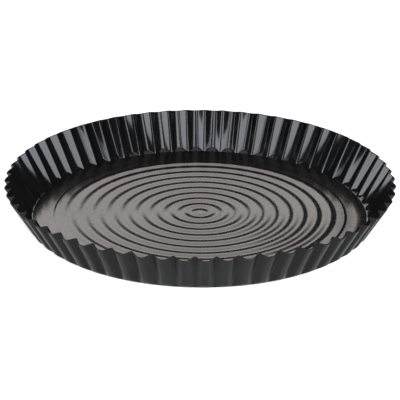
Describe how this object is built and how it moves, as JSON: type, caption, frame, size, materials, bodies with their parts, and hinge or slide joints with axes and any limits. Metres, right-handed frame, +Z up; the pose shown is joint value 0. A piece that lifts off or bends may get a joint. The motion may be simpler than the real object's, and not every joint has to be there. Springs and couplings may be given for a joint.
{
  "type": "tart pan",
  "caption": "Round fluted tart pan: a flared, scalloped ring with an inward flange, and a loose disc base with raised concentric ripples that lifts out upward.",
  "frame": {"origin": "on the pan's axis at the underside of the ring's flange, the plane the pan stands on", "axes": "+Z up along the pan's axis; cusps of the fluting point along +X, -X, +Y and -Y"},
  "size_m": [0.2796, 0.2796, 0.0299],
  "materials": {
    "ring_coating": "glossy dark non-stick coating on steel sheet",
    "base_coating": "satin dark non-stick coating on steel sheet"
  },
  "bodies": {
    "ring": {"fluted_ring": "ring_coating"},
    "base": {"loose_base": "base_coating"}
  },
  "joints": [
    {"name": "base_lift", "type": "slide", "parent": "ring", "child": "base", "axis": [0, 0, 1], "range_m": [0, 0.05]}
  ]
}
